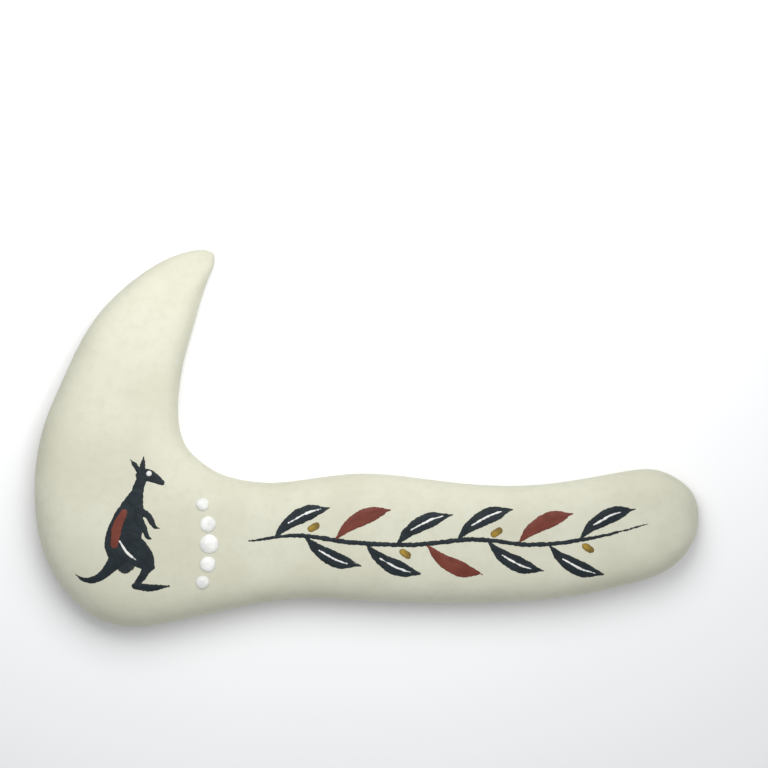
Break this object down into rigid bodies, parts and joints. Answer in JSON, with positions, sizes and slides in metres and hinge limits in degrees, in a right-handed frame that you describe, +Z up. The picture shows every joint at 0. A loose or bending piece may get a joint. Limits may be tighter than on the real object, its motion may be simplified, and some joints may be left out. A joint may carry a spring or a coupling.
{
  "type": "hook boomerang",
  "caption": "Small cast hook boomerang: a curved pointed blade on a rounded handle, domed hand-painted front, flat back with magnets let in.",
  "frame": {"origin": "middle of the footprint, on the flat back that it lies on", "axes": "+X along the handle to its round end, +Y along the hook's blade towards its tip, +Z up out of the painted front"},
  "size_m": [0.088, 0.05, 0.0084],
  "materials": {
    "cast_stone": "matte",
    "ferrite": "satin",
    "glue": "gloss",
    "black_paint": "satin",
    "red_brown_paint": "satin",
    "ochre_paint": "satin",
    "white_paint": "satin"
  },
  "bodies": {
    "root": {"cast_body": "cast_stone", "elbow_magnet": "ferrite", "handle_magnet": "ferrite", "elbow_magnet_glue": "glue", "handle_magnet_glue": "glue", "kangaroo_arms": "black_paint", "kangaroo_ears": "black_paint", "kangaroo_eye": "white_paint", "kangaroo_head": "black_paint", "kangaroo_hind_leg": "black_paint", "kangaroo_red_patch": "red_brown_paint", "kangaroo_tail": "black_paint", "kangaroo_trunk": "black_paint", "kangaroo_white_line": "white_paint", "sprig_lower_leaves": "black_paint", "sprig_red_leaves": "red_brown_paint", "sprig_stem": "black_paint", "sprig_upper_leaves": "black_paint", "sprig_white_veins": "white_paint", "sprig_yellow_buds": "ochre_paint", "white_dots": "white_paint"}
  },
  "joints": []
}
